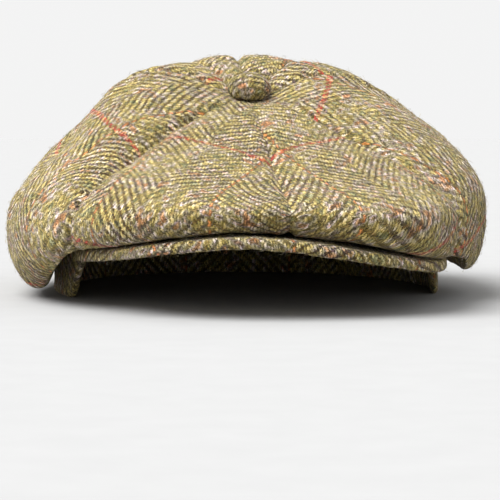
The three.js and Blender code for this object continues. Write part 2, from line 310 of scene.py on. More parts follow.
def front_share(turn, between):
    """0 round the back, 1 across the front, changing smoothly between two turns in degrees."""
    low, high = np.cos(np.radians(between))
    return smoothstep(np.cos(turn), low, high)


def peak_underside(x, y):
    climb = (PEAK["rise"] + PEAK["twist"] * x) * (y - PEAK["tip_y"])
    curve = PEAK["arch"] * np.abs(x - PEAK["arch_middle_x"]) ** PEAK["arch_power"]
    return PEAK["tip_z"] - curve + climb


def band_bottom(turn):
    return front_share(turn, BAND_RISE) * peak_underside(*band_point(turn, BAND["wall"]))


def band_top(turn):
    return lerp(BAND["side_top"], BAND["front_top"], front_share(turn, BAND_TOP_RISE))


def tuck_point(turn):
    """Where the upright plane at this turn meets the band's outer face, under the band's top."""
    way_x, way_y = np.sin(turn), -np.cos(turn)
    half_width = BAND["half_width"] + BAND["wall"] + GAP
    half_length = BAND["half_length"] + BAND["wall"] + GAP
    a = (way_x / half_width) ** 2 + (way_y / half_length) ** 2
    b = way_y * BUTTON_AXIS_Y / half_length ** 2
    c = (BUTTON_AXIS_Y / half_length) ** 2 - 1
    distance = (-b + np.sqrt(b * b - a * c)) / a
    x = way_x * distance
    y = BUTTON_AXIS_Y + way_y * distance
    oval_turn = np.arctan2(x / half_width, -y / half_length)
    return distance, band_top(oval_turn) - TUCK_BELOW_TOP


def peak_rest(x, y):
    """The lowest that the crown can hang: on the peak, and free past the peak's edge."""
    across = np.abs((x - PEAK["middle_x"]) / PEAK["half_width"]) ** PEAK["squareness"]
    length = PEAK["tip_y"] - PEAK["root_y"]
    along = np.maximum(0, (y - PEAK["root_y"]) / length) ** PEAK["squareness"]
    past = (across + along) ** (1 / PEAK["squareness"]) - 1
    beyond = PEAK_CLEARANCE["slope"] * np.maximum(0, past - PEAK_CLEARANCE["ledge"])
    behind = PEAK_CLEARANCE["behind_slope"] * np.maximum(0, y - PEAK["root_y"])
    return peak_underside(x, y) + PEAK["thick"] + GAP - beyond - behind


def section(turn, stretch):
    """Distance out, height, and the outward direction of the crown's section, at grids of both."""
    apex_slope = -np.tan(TOP_SLOPE) * np.cos(turn)
    columns = (at_turn(column, turn) for column in np.array(SECTIONS).T)
    shoulder_out, shoulder_z, fall, full, reach, reach_z, hang, fold_in, fold_z = columns
    shoulder_slope = -np.tan(np.radians(fall))
    tuck, tuck_z = tuck_point(turn)
    fold = reach - fold_in
    apex_z = APEX_Z + apex_slope * APEX_HOLE
    inner = (shoulder_out - APEX_HOLE) / 3
    outer = (reach - shoulder_out) / 2
    under = fold - tuck
    curves = [
        [(APEX_HOLE, apex_z), (APEX_HOLE + inner, apex_z + inner * apex_slope),
         (shoulder_out - inner, shoulder_z - inner * shoulder_slope), (shoulder_out, shoulder_z)],
        [(shoulder_out, shoulder_z), (shoulder_out + outer, shoulder_z + outer * shoulder_slope),
         (reach, reach_z + (shoulder_z - reach_z) * full), (reach, reach_z)],
        [(reach, reach_z), (reach, reach_z + (fold_z - reach_z) * hang),
         (fold + fold_in * FOLD_ROUND, fold_z), (fold, fold_z)],
        [(fold, fold_z), (fold - under * TUCK_PULL[0], fold_z),
         (tuck + under * TUCK_PULL[1], tuck_z), (tuck, tuck_z)],
    ]
    total = np.zeros((4, *turn.shape))
    for number, curve in enumerate(curves):
        last = number == len(curves) - 1
        here = (stretch >= number) & ((stretch < number + 1) | last)
        t = np.clip(stretch - number, 0, 1)
        weights = ((1 - t) ** 3, 3 * t * (1 - t) ** 2, 3 * t * t * (1 - t), t ** 3)
        rates = (-(1 - t) ** 2, (1 - t) ** 2 - 2 * t * (1 - t), 2 * t * (1 - t) - t * t, t * t)
        for (x, z), weight, rate in zip(curve, weights, rates):
            total += here * np.array([weight * x, weight * z, rate * x, rate * z])
    out, height, run, rise = total
    length = np.maximum(np.hypot(run, rise), 1e-9)
    return out, height, -rise / length, run / length


def seam_turn(number, stretch):
    """Where a seam runs, as a turn round the button's axis."""
    whole, index = divmod(number, len(SEAMS))
    tip, crest, rim, _ = SEAMS[index]
    near_crest = lerp(tip, crest, smoothstep(stretch, 0, CREST_STRETCH))
    turn = lerp(near_crest, rim, smoothstep(stretch, CREST_STRETCH, RIM_STRETCH))
    return np.radians(turn) + whole * FULL_TURN


def hollow_depth(turn, stretch):
    """How deep the table's hollows press the crown in, all together."""
    deep = np.zeros_like(turn)
    for place, down, depth, turn_spread, stretch_spread in HOLLOWS:
        away = np.mod(turn - math.radians(place) + math.pi, FULL_TURN) - math.pi
        across = away / math.radians(turn_spread)
        along = (stretch - down) / stretch_spread
        deep += depth * np.exp(-across ** 2 - along ** 2)
    return deep


WAVES = [                       # slow, middle and quick: seed, count, longest, shortest
    make_waves(11, 24, 70, 28),
    make_waves(12, 30, 24, 11),
    make_waves(13, 36, 9, 4.5),
]
UNEVEN = {                      # and their heights
    "gore": (0.55, 0.22, 0.07),
    "band": (0, 0.22, 0.08),
    "peak": (0, 0.12, 0.05),
    "button": (0, 0, 0.1),
}


def unevenness(piece, points, calm=1):
    """How far cloth stands above its smooth shape; the slower waves are scaled by calm."""
    total = 0
    for height, waves, share in zip(UNEVEN[piece], WAVES, (calm, calm, 1)):
        if height:
            total = total + height * share * wave_sum(points, waves)
    return total


def gore_grid(number):
    """The face of a gore: a grid of points across and along it, with its outward directions."""
    even = np.linspace(0, 1, GORE_COLUMNS_ACROSS + 1)
    share = (even + (1 - np.cos(even * math.pi)) / 2) / 2
    rows = [np.zeros(1)]
    for piece, count in enumerate(GORE_ROWS):
        rows.append(piece + np.arange(1, count + 1) / count)
    share, stretch = np.meshgrid(share, np.concatenate(rows), indexing="ij")
    turn = lerp(seam_turn(number, stretch), seam_turn(number + 1, stretch), share)
    out, height, face_out, face_up = section(turn, stretch)
    across = share * 2 - 1
    fullness = smoothstep(stretch, 0, 1) * (1 - smoothstep(stretch, 2, 3))
    push = PUFF * (1 - across ** 2) * fullness - hollow_depth(turn, stretch)
    out = out + face_out * push
    height = height + face_up * push
    height -= DIMPLE["depth"] * np.exp(-(out / DIMPLE["radius"]) ** 2)
    way_x, way_y = np.sin(turn), -np.cos(turn)
    floor = peak_rest(way_x * out, BUTTON_AXIS_Y + way_y * out)
    soft = PEAK_CLEARANCE["softness"]
    lifted = (height + floor + np.sqrt((height - floor) ** 2 + soft ** 2)) / 2
    rests = (stretch > 2) & (lifted - height > PEAK_CLEARANCE["least"])
    height = np.where(rests, lifted, height)
    points = join(way_x * out, BUTTON_AXIS_Y + way_y * out, height)
    outward = join(way_x * face_out, way_y * face_out, face_up)
    sideways = join(-way_y, way_x, 0)
    return share, stretch, points, outward, sideways


def cloth_detail(number, share, stretch, points):
    """What the cloth does near its seams and all over, as a height above the smooth gore."""
    left = running_length(points, 0)
    right = left[-1:] - left
    along = running_length(points, 1)
    detail = np.zeros_like(share)
    pull = smoothstep(stretch, *SEAM_PULL_STARTS) * (1 - smoothstep(stretch, *SEAM_PULL_ENDS))
    for side, distance in ((0, left), (1, right)):
        index = (number + side) % len(SEAMS)
        at = along[-1 if side else 0]
        ditch = np.exp(-(distance / DITCH["wide"]) ** 2)
        detail -= DITCH["deep"] * ditch * pull
        detail += LIP["high"] * np.exp(-((distance - LIP["away"]) / LIP["wide"]) ** 2) * pull
        detail -= SEAMS[index][-1] * np.exp(-(distance / VALLEY_WIDE) ** 2) * pull
        wander = PUCKER["wander"] * np.sin(at / PUCKER["wander_long"] + index)
        phase = at * FULL_TURN / PUCKER["long"] + index * PUCKER["seam_shift"] + wander
        near = np.exp(-(distance / PUCKER["wide"]) ** 2) * (1 - ditch)
        detail += PUCKER["high"] * np.sin(phase) * near * pull
    return detail + unevenness("gore", points, smoothstep(stretch, *CALM_UNDER_BUTTON))


def wedge_start(points):
    """A first guess at the flat gore: each row's length across, and the middle's length along."""
    middle = points.shape[0] // 2
    across = running_length(points, 0)
    across = across - across[middle]
    return join(across, running_length(points[middle], 0))


NEIGHBOURS = [              # the points of a grid whose distances are kept: across, along, aslant
    (np.s_[:-1, :], np.s_[1:, :]),
    (np.s_[:, :-1], np.s_[:, 1:]),
    (np.s_[:-1, :-1], np.s_[1:, 1:]),
    (np.s_[:-1, 1:], np.s_[1:, :-1]),
]


def press_flat(points):
    """Lays a grid of cloth flat, until its threads have their own length again."""
    flat = wedge_start(points)
    links = []
    for here, there in NEIGHBOURS:
        links.append((here, there, np.linalg.norm(points[there] - points[here], axis=-1)))
    for _ in range(PRESS_ROUNDS):
        push = np.zeros_like(flat)
        for here, there, length in links:
            span = flat[there] - flat[here]
            now = np.maximum(np.linalg.norm(span, axis=-1), 1e-6)
            half = span * ((now - length) / now / 2)[..., None]
            push[here] += half
            push[there] -= half
        flat += push * PRESS_PACE
    middle = points.shape[0] // 2
    line = flat[middle, -1] - flat[middle, 0]
    lean = math.atan2(line[0], line[1])
    turn = np.array([[math.cos(lean), math.sin(lean)], [-math.sin(lean), math.cos(lean)]])
    return (flat - flat[middle, 0]) @ turn


def finer(grid, count):
    """A grid with its first axis drawn out again from every few rows to this many."""
    rows, known = np.arange(count), np.arange(0, count, PRESS_STEP)
    return np.apply_along_axis(lambda line: np.interp(rows, known, line), 0, grid)


def flat_cloth(points):
    """Where each point of a gore lay in the flat cloth, its button end at the origin, along v."""
    few = press_flat(points[::PRESS_STEP, ::PRESS_STEP])
    rows, cols = points.shape[:2]
    return finer(finer(few, rows).swapaxes(0, 1), cols).swapaxes(0, 1)


def grid_faces(rows, cols, offset=0, flip=False):
    index = offset + index_grid(rows, cols)
    quads = join(index[:-1, :-1], index[:-1, 1:], index[1:, 1:], index[1:, :-1]).reshape(-1, 4)
    return quads[:, ::-1] if flip else quads


def border(rows, cols):
    """The indices round a grid's border, as four runs that go round it."""
    index = index_grid(rows, cols)
    return [index[0, ::-1], index[:, 0], index[-1, :], index[::-1, -1]]


def shell(name, face, inside, flat, material):
    """A closed wall between a fine grid and a coarser one behind it, joined round their borders."""
    rows, cols = face.shape[:2]
    few_rows, few_cols = inside.shape[:2]
    offset = rows * cols
    vertices = np.concatenate([face.reshape(-1, 3), inside.reshape(-1, 3)])
    uv = np.concatenate([flat.reshape(-1, 2), flat[::INSIDE_STEP, ::INSIDE_STEP].reshape(-1, 2)])
    behind = grid_faces(few_rows, few_cols, offset, flip=True)
    quads = np.concatenate([grid_faces(rows, cols), behind])
    triangles = []
    for fine, coarse in zip(border(rows, cols), border(few_rows, few_cols)):
        coarse = coarse + offset
        for number in range(len(coarse) - 1):
            start = number * INSIDE_STEP
            for k in range(INSIDE_STEP):
                triangles.append((fine[start + k], coarse[number], fine[start + k + 1]))
            triangles.append((fine[start + INSIDE_STEP], coarse[number], coarse[number + 1]))
    triangles = np.array(triangles)
    return mesh_object(name, vertices, [quads, triangles], [uv[quads], uv[triangles]], material)


def as_cut(number, flat):
    """Cloth coordinates that count from where this gore's red pick and orange end cross."""
    _, red_at, orange_at, ends_lean, *picks_lean, turned = GORES[number]
    lean = np.interp(flat[..., 1], LEAN_STATIONS, picks_lean)
    u = flat[..., 0] + flat[..., 1] * math.tan(math.radians(ends_lean)) - orange_at
    v = flat[..., 1] - flat[..., 0] * np.tan(np.radians(lean)) - red_at
    return join(u, v) * (-1 if turned else 1)


def cut_size(pressed):
    """A flat gore's width and length, and its area, in metres."""
    order = np.concatenate([run[:-1] for run in border(*pressed.shape[:2])])
    outline = pressed.reshape(-1, 2)[order] * MM
    x, y = outline.T
    area = abs(np.sum(x * np.roll(y, -1) - y * np.roll(x, -1))) / 2
    return tuple(np.ptp(outline, axis=0)), area


def make_gore(number, material):
    """One gore as a closed wall of cloth; returns its outer face and the stretch of each point."""
    name = GORES[number][0]
    share, stretch, points, outward, sideways = gore_grid(number)
    pressed = flat_cloth(points)
    flat = as_cut(number, pressed)
    detail = cloth_detail(number, share, stretch, points)
    face = points + outward * detail[..., None]
    slit = SEAM_SLIT * ((share == 0) * 1.0 - (share == 1))
    face = face + sideways * slit[..., None]
    inside = (face - outward * CLOTH)[::INSIDE_STEP, ::INSIDE_STEP]
    piece = shell(name + "_cloth", head_shift(face), head_shift(inside), flat, material)
    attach(piece, "root")
    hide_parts(name)
    size, area = cut_size(pressed)
    return face, stretch


# ---- band, peak and button

def ring_piece(name, sections, uvs, material):
    """A closed ring from equal closed sections, one after another round it."""
    rows, cols = sections.shape[:2]
    uvs = np.concatenate([uvs, uvs[:1]])
    uvs[-1, :, 0] += uvs[-2, :, 0] + (uvs[1, :, 0] - uvs[0, :, 0])
    uvs = np.concatenate([uvs, uvs[:, -1:] * 2 - uvs[:, -2:-1]], axis=1)
    corners = np.roll(grid_faces(rows + 1, cols + 1, flip=True), 1, axis=1)
    row, col = np.divmod(corners, cols + 1)
    quads = row % rows * cols + col % cols
    uvs = uvs.reshape(-1, 2)[corners]
    return mesh_object(name, sections.reshape(-1, 3), [quads], [uvs], material)


def make_band(material):
    """The headband, a wall with rounded rims."""
    turns = turns_round(BAND_GRID["round"])
    top, bottom = band_top(turns), band_bottom(turns)
    half = BAND["wall"] / 2
    x, y = band_point(turns, half)
    length = running_length(join(x, y), 0)
    upward = np.linspace(0, 1, BAND_GRID["up"])
    rim = np.linspace(0, math.pi, BAND_GRID["over"])[1:-1]
    loop = [(half, share, 0.0) for share in upward[::-1]]
    loop += [(half * math.cos(angle), 0.0, -half * math.sin(angle)) for angle in rim]
    loop += [(-half, share, 0.0) for share in upward]
    loop += [(-half * math.cos(angle), 1.0, half * math.sin(angle)) for angle in rim]
    rows = []
    for offset, share, rounding in loop:
        z = lerp(bottom + half, top - half, share) + rounding
        rows.append(join(*band_point(turns, half + offset), z))
    sections = np.stack(rows, axis=1)
    way = join(np.sin(turns), -np.cos(turns), 0)
    sections = sections + way[:, None] * unevenness("band", sections)[..., None]
    down = running_length(sections, 1)
    uvs = join(length[:, None], down)
    piece = ring_piece("band_cloth", head_shift(sections), uvs, material)
    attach(piece, "root")
    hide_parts("band")
    steps = np.hypot(x - np.roll(x, 1), y - np.roll(y, 1)) * MM
    area = np.sum((top - bottom) * MM * steps)


def peak_edge(share):
    """The peak's outline, from one horn at share -1, round its tip at 0, to the other at 1."""
    turn = share * math.pi / 2
    power = 2 / PEAK["squareness"]
    across = np.sign(share) * PEAK["half_width"] * np.abs(np.sin(turn)) ** power
    along = (PEAK["tip_y"] - PEAK["root_y"]) * np.abs(np.cos(turn)) ** power
    return join(PEAK["middle_x"] + across, PEAK["root_y"] + along)


def make_peak(material):
    """One closed skin, round at its edge, from one horn to the other."""
    share = np.linspace(-1, 1, PEAK_GRID["along"] + 1)
    root_turn = math.acos(-PEAK["root_y"] / (BAND["half_length"] + BAND["wall"]))
    root = join(*band_point(share * root_turn, BAND["wall"] + GAP))
    edge = peak_edge(share * PEAK["horn_share"])
    inward = unit(root - edge)[:, None]
    width = np.linalg.norm(root - edge, axis=-1)
    half = PEAK["thick"] / 2
    past = (np.abs(share) - PEAK["thins_from"]) / (1 - PEAK["thins_from"])
    thins = np.sqrt(np.clip(1 - past.clip(0, 1) ** 2, PEAK["thinnest"], 1))

    # over the top to the edge, round it, and back below: a share of the width, and then, in half
    # thicknesses, how far in and how high, and how far in along the top's cloth
    shares = np.arange(1, PEAK_GRID["deep"] + 1) / PEAK_GRID["deep"]
    angles = np.linspace(0, math.pi, PEAK_GRID["edge"])
    profile = [(value, 1 - value, 1, 1 - value) for value in shares[::-1]]
    profile += [(0, 1 - math.sin(angle), math.cos(angle), 1 - angle) for angle in angles]
    profile += [(value, 1 - value, -1, 1 - value) for value in shares]
    across, inset, lift, laid = np.array(profile).T
    back = np.outer(width, across)
    flat = edge[:, None] + inward * (back + half * inset)[..., None]
    z = peak_underside(flat[..., 0], flat[..., 1]) + half + np.outer(thins, half * lift)
    points = join(flat[..., 0], flat[..., 1], z)
    points[..., 2] += unevenness("peak", points)
    uv_top = edge[:, None] + inward * (back + half * laid)[..., None]
    uv_under = flat * np.array([1, -1])
    index = index_grid(*points.shape[:2])
    top = np.arange(points.shape[1]) < len(shares) + len(angles) - 1
    face_uv = np.where(top[:, None, None], corners_round(uv_top), corners_round(uv_under))
    piece = mesh_object(
        "peak_cloth",
        head_shift(points).reshape(-1, 3),
        [corners_round(index)[:, :, ::-1].reshape(-1, 4), both_ends(index)],
        [face_uv[:, :, ::-1].reshape(-1, 2), both_ends(uv_under).reshape(-1, 2)],
        material,
    )
    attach(piece, "root")
    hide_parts("peak")
    return points


def make_button(material):
    """A domed disc under tweed that is gathered in below it."""
    radius, height, base, under = (BUTTON[name] for name in ("radius", "height", "base", "under"))
    turns = turns_round(BUTTON_GRID["round"])
    profile = []
    for angle in np.linspace(math.pi / 2 * BUTTON_TOP_TURN, 0, BUTTON_GRID["dome"]):
        profile.append((radius * math.cos(angle), base + (height - base) * math.sin(angle)))
    for angle in np.linspace(0, math.pi / 2, BUTTON_GRID["turned_in"])[1:]:
        profile.append((radius - under + under * math.cos(angle), base - base * math.sin(angle)))
    profile += [(radius * share, 0.0) for share in BUTTON_GRID["below"]]
    profile = np.array(profile)
    reach = running_length(profile, 0) + profile[0, 0]
    r, z = profile.T[..., None]
    gathered = smoothstep(reach / radius, *PLEATS_SPREAD)[:, None] * (r > radius * PLEATS_END)
    wander = PLEATS["wander"] * np.sin(turns * PLEATS["wanders"])
    r = r + np.sin(turns * PLEATS["count"] + wander) * PLEATS["deep"] * gathered
    x, y = r * np.sin(turns), -r * np.cos(turns)
    tilt_cos, tilt_sin = math.cos(TOP_SLOPE), math.sin(TOP_SLOPE)
    seat = APEX_Z - DIMPLE["depth"] + GAP + BUTTON["seat"]
    upright_y = y * tilt_cos - z * tilt_sin + BUTTON_AXIS_Y
    points = join(x, upright_y, y * tilt_sin + z * tilt_cos + seat)
    points[..., 2] += unevenness("button", points)
    across, along = reach[:, None] * np.sin(turns), reach[:, None] * -np.cos(turns)
    uv = join(across - along, across + along) / math.sqrt(2)
    uv[..., 0] += BUTTON["cut_at"]
    index = index_grid(*points.shape[:2])
    piece = mesh_object(
        "button_cloth",
        head_shift(points).reshape(-1, 3),
        [corners_round(index).reshape(-1, 4), both_ends(index)],
        [corners_round(uv).reshape(-1, 2), both_ends(uv).reshape(-1, 2)],
        material,
    )
    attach(piece, "root")
    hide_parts("button")
    return points


# ---- the tweed's material

MIX_FACTOR, MIX_COLOURS, MIX_RESULT = 0, (6, 7), 2      # places on a mix node


def add_node(tree, kind, inputs, **settings):
    """A node with its settings, and with each input set to a value or linked to a source."""
    node = tree.nodes.new("ShaderNode" + kind)
    for name, value in settings.items():
        setattr(node, name, value)
    for place, value in inputs.items():
        if isinstance(value, Field):
            value = value.socket
        if isinstance(value, bpy.types.NodeSocket):
            tree.links.new(value, node.inputs[place])
        else:
            node.inputs[place].default_value = value
    return node


class Field:
    """A number that a material's nodes work out at each point of a surface."""

    def __init__(self, tree, socket):
        self.tree = tree
        self.socket = socket

    def math(self, operation, *others, clamp=False):
        inputs = dict(enumerate((self, *others)))
        node = add_node(self.tree, "Math", inputs, operation=operation, use_clamp=clamp)
        return Field(self.tree, node.outputs[0])

    def __add__(self, other):
        return self.math("ADD", other)

    def __sub__(self, other):
        return self.math("SUBTRACT", other)

    def __mul__(self, other):
        return self.math("MULTIPLY", other)

    def __truediv__(self, other):
        return self.math("DIVIDE", other)

    __radd__ = __add__
    __rmul__ = __mul__

    def __rsub__(self, other):
        return (self * -1) + other

    def floor(self):
        return self.math("FLOOR")

    def below(self, other):
        return self.math("LESS_THAN", other)

    def remainder(self, other):
        return self.math("FLOORED_MODULO", other)


def vector_of(*parts):
    return add_node(parts[0].tree, "CombineXYZ", dict(enumerate(parts))).outputs[0]


def random_at(*parts):
    inputs = {"Vector": vector_of(*parts)}
    node = add_node(parts[0].tree, "TexWhiteNoise", inputs, noise_dimensions="3D")
    return Field(parts[0].tree, node.outputs["Value"])


def linear(colour):
    """A display colour, 0 to 255, as linear light with full cover."""
    return (*(((c / 255 + 0.055) / 1.055) ** 2.4 if c > 10 else c / 255 / 12.92 for c in colour), 1)


def mix_colour(factor, *colours):
    """A mix of two colours, each a node's output or a display colour."""
    inputs = {MIX_FACTOR: factor}
    for place, colour in zip(MIX_COLOURS, colours):
        inputs[place] = linear(colour) if isinstance(colour, tuple) else colour
    return add_node(factor.tree, "Mix", inputs, data_type="RGBA").outputs[MIX_RESULT]


def scale_colour(colour, *factors):
    """A colour with its red, green and blue each multiplied by its own factor."""
    inputs = {0: colour, 1: vector_of(*factors)}
    return add_node(factors[0].tree, "VectorMath", inputs, operation="MULTIPLY").outputs[0]


def palette(factor, colours):
    """A colour from a row of colours, by how far along the row the factor is, 0 to 1."""
    node = add_node(factor.tree, "ValToRGB", {"Fac": factor})
    elements = node.color_ramp.elements
    for number, colour in enumerate(colours):
        position = number / (len(colours) - 1)
        element = elements[number] if number < 2 else elements.new(position)
        element.position = position
        element.color = linear(colour)
    return node.outputs["Color"]


def new_material(name, settings):
    """A new material with its tree and its shader's constant settings."""
    material = bpy.data.materials.new(name)
    material.use_nodes = True
    shader = material.node_tree.nodes["Principled BSDF"]
    for socket, value in settings.items():
        shader.inputs[socket].default_value = value
    return material, material.node_tree, shader


def cloth_place(tree):
    """The two cloth coordinates, in metres."""
    uv = add_node(tree, "UVMap", {}, uv_map="cloth")
    split = add_node(tree, "SeparateXYZ", {0: uv.outputs["UV"]})
    return Field(tree, split.outputs["X"]), Field(tree, split.outputs["Y"])


YARN = 1.15 * MM            # from one yarn to the next, both ways
ENDS_PER_COLUMN = 22        # the herringbone turns back after this many ends
REPEAT = 4                  # ends and picks in which a 2/2 twill repeats
RED_REPEAT = 77             # picks from one pair of red picks to the next
RED_PICKS = 2
RED_SHOWS = (0.35, 0.85)    # how red it is where the warp covers it, and where it lies on top
ORANGE_REPEAT = 44          # ends from one orange end to the next
ORANGE_ENDS = 1
ORANGE_SHOWS = 0.8
BULGE = 0.3                 # how much of a yarn the full warp floats spread over the weft
FLOAT_END = 0.4             # the height of a float's ends, where its middle is 1
YARN_SQUARENESS = 0.6

WARP_COLOURS = [            # the lighter yarn's wool, from its greens through yellow to its browns
    (172, 169, 112), (189, 178, 108), (210, 186, 98), (213, 190, 116),
    (215, 201, 150), (205, 188, 168), (219, 176, 118), (216, 154, 96),
]
WEFT_COLOURS = [            # and the darker yarn's
    (80, 76, 37), (95, 80, 29), (118, 88, 24), (106, 78, 28),
    (110, 91, 46), (99, 78, 69), (99, 67, 34), (92, 57, 30),
]
RED_YARN = (206, 60, 42)
ORANGE_YARN = (216, 126, 46)
WEFT_DEPTH = 0.78           # how fully the weft has its own colour, before wear

STRAND = {"in_yarn": 3, "twist": 1.2, "per_yarn_along": 0.9, "shift": 9}
STRAND_LIGHT = (0.35, 1.65)     # the darkest and the lightest strand
FLOAT_LIGHT = (0.6, 1.4)        # the same for whole floats
FLOAT_HUE = 0.1                 # how far a whole float strays along the palette
HAIR_LIFT = 4.4                 # how much a light hair brightens the wool
# painted light and shade: how much lighter a yarn's crown is painted, how much darker the gaps
# between yarns, and the yarn height between the two
CROWN_PAINTED_LIGHT = 3.8
PAINTED_SHADE_PIVOT = 0.6
LIFT = 1.25
LEAST_LIFT = 0.05
LIFT_KNEE = 0.6                 # the smaller, the sooner light hairs stop getting lighter
PALER_WHEN_LIGHT = 0.42         # how much faster blue rises than red and green
TONES = {"crown_tweed": 0.51, "peak_tweed": 0.47, "band_tweed": 0.49, "button_tweed": 0.45}
BUMP = {"Strength": 0.8, "Distance": 0.55 * MM}
HAIR_HEIGHT = 0.6
TWEED_SHADER = {
    "Roughness": 0.95,
    "Specular IOR Level": 0.15,
    "Sheen Weight": 0.1,
    "Sheen Roughness": 0.6,
}
NOISES = {                      # how many to a metre, detail, own place, and reach
    "drift_u": (30, 1, 3, 4.0 * MM),        # the yarns wander
    "drift_v": (30, 1, 5, 4.0 * MM),
    "sway_u": (300, 1, 0, 1.6 * MM),        # and wander again, at their own width
    "sway_v": (300, 1, 7, 1.6 * MM),
    "rag_u": (1700, 1, 2, 1.7 * MM),        # their woolly edges are ragged
    "rag_v": (1700, 1, 9, 1.7 * MM),
    "patch": (330, 0, 21, 1.1),             # small and larger patches of other wool
    "field": (100, 2, 31, 1.8),
    "worn": (40, 2, 11, 2.2),               # where the weft has less of its own colour
    "broad": (26, 2, 17, 0.3),              # slow changes of lightness
    "hairs": (2600, 3, 0, 1),
}


def swing(name, u, v):
    """One of the noises, as an amount above and below 0."""
    per_metre, detail, place, reach = NOISES[name]
    inputs = {"Vector": vector_of(u, v, place), "Scale": per_metre, "Detail": detail}
    return (Field(u.tree, add_node(u.tree, "TexNoise", inputs).outputs["Fac"]) - 0.5) * reach


def yarn_count(axis, u, v):
    """How many yarns from the origin a point lies, along the cloth's u or v."""
    place = u if axis == "u" else v
    for name in ("drift_", "sway_", "rag_"):
        place = place + swing(name + axis, u, v)
    return place / YARN


def make_tweed(name, overcheck=True):
    """A 2/2 herringbone, yarn by yarn, from the cloth coordinates that each piece carries."""
    material, tree, shader = new_material(name, TWEED_SHADER)
    tone = TONES[name]
    u, v = cloth_place(tree)
    x = yarn_count("u", u, v)
    y = yarn_count("v", u, v)
    end = x.floor()
    pick = y.floor()
    across_end = x - end
    across_pick = y - pick

    # herringbone: which way the steps go in this column, and which yarn is on top here
    odd = ((end + 0.5) / ENDS_PER_COLUMN).floor().remainder(2)
    step = odd * 2 - 1
    wale = pick + end * step + odd * 2
    order = wale.remainder(REPEAT)
    warp_float = 2 + 2 * BULGE
    on_float = (order + across_pick + BULGE).remainder(REPEAT)
    weft_up = 1 - on_float.below(warp_float)

    # how far along its float, and across its yarn, each point lies
    weft_order = lerp(3 - order, order - 2, odd)
    along_weft = (weft_order + across_end) / 2
    along = lerp(on_float / warp_float, along_weft, weft_up)
    across = lerp(across_end, across_pick, weft_up)
    arch_along = along * (1 - along) * 4
    arch_across = across * (1 - across) * 4
    height = lerp(FLOAT_END, 1, arch_along) * arch_across.math("POWER", YARN_SQUARENESS)

    # strands and floats of different lightness; the numbers added keep the random draws apart
    over = lerp(x, y, weft_up)
    down = lerp(y, x, weft_up)
    strand = (over * STRAND["in_yarn"] + down * STRAND["twist"]).floor()
    shift = random_at(strand, weft_up, 4.0) * STRAND["shift"]
    part = (down * STRAND["per_yarn_along"] + shift).floor()
    strand_light = random_at(strand, part, weft_up + 6)
    yarn = lerp(end, pick, weft_up)
    float_number = (wale / REPEAT).floor()
    float_hue = random_at(yarn, float_number, weft_up + 1)
    float_light = random_at(yarn, float_number, weft_up + 3)
    lightness = lerp(*STRAND_LIGHT, strand_light) * lerp(*FLOAT_LIGHT, float_light)

    # heathered wool, and the overcheck's red picks and orange ends
    patches = swing("patch", u, v) + swing("field", u, v)
    wool = 0.5 + patches + (float_hue - 0.5) * FLOAT_HUE
    warp_colour = palette(wool, WARP_COLOURS)
    weft_colour = palette(wool, WEFT_COLOURS)
    if overcheck:
        on_orange = end.remainder(ORANGE_REPEAT).below(ORANGE_ENDS - 0.5) * (1 - weft_up)
        warp_colour = mix_colour(on_orange * ORANGE_SHOWS, warp_colour, ORANGE_YARN)
    depth = swing("worn", u, v).math("ADD", WEFT_DEPTH, clamp=True)
    colour = mix_colour(weft_up * depth, warp_colour, weft_colour)
    if overcheck:
        on_red = pick.remainder(RED_REPEAT).below(RED_PICKS - 0.5)
        colour = mix_colour(on_red * lerp(*RED_SHOWS, weft_up), colour, RED_YARN)

    # light and dark hairs, and painted shade in the gaps between yarns with painted light on their
    # crowns
    hairs = swing("hairs", u, v)
    lift = hairs * HAIR_LIFT + (height - PAINTED_SHADE_PIVOT) * CROWN_PAINTED_LIGHT + LIFT
    lift = lift.math("MAXIMUM", LEAST_LIFT)
    lift = lift / (lift + LIFT_KNEE) * (1 + LIFT_KNEE)
    lift = lift * lightness * (swing("broad", u, v) + 1)
    blue = lift.math("POWER", 1 + PALER_WHEN_LIGHT)
    colour = scale_colour(colour, lift * tone, lift * tone, blue * tone)
    tree.links.new(colour, shader.inputs["Base Color"])

    bump = add_node(tree, "Bump", {**BUMP, "Height": height + hairs * HAIR_HEIGHT})
    tree.links.new(bump.outputs[0], shader.inputs["Normal"])
    return material


# ---- loose fibres

FRONT_GORES = (0, 1, 6, 7)  # whose fibres go with the front's
SHOWN_STRETCH = 2.7         # fibres stand on the gores from the button down to this stretch
FIBRE_SEED = 21
FIBRES = {"gore": 1900, "back_gore": 1500, "peak": 1500, "button": 130}
FIBRE = {
    "shortest": 1.0,
    "longest": 4.8,
    "thin": 0.03,
    "thick": 0.058,
    "sunk": 0.12,           # how far under the cloth's face its root is
    "flat": 0.08,           # the least and the most that it leaves the cloth, in radians
    "steep": 0.5,
    "stray": 0.6,           # the few that stand off do so by this much more
    "fewness": 8,
}
FIBRE_PARTS = [(0.34, 1.0), (0.36, 0.5), (0.3, 0.0)]    # share of its length, and of its rise
FIBRE_CORNERS = 3
FIBRE_MAP_EDGE = 0.05       # hairs keep this far from the edges of their map
FIBRE_SPOT = 0.01           # half of the small place that each has on it
FIBRE_SHADE = (0.3, 1.0)
FIBRE_SHADER = {"Roughness": 0.8, "Specular IOR Level": 0.2}
FIBRE_COLOURS = [
    (120, 104, 76), (170, 148, 92), (206, 182, 108), (192, 188, 138),
    (228, 214, 172), (240, 232, 206), (210, 200, 192), (206, 140, 88),
]


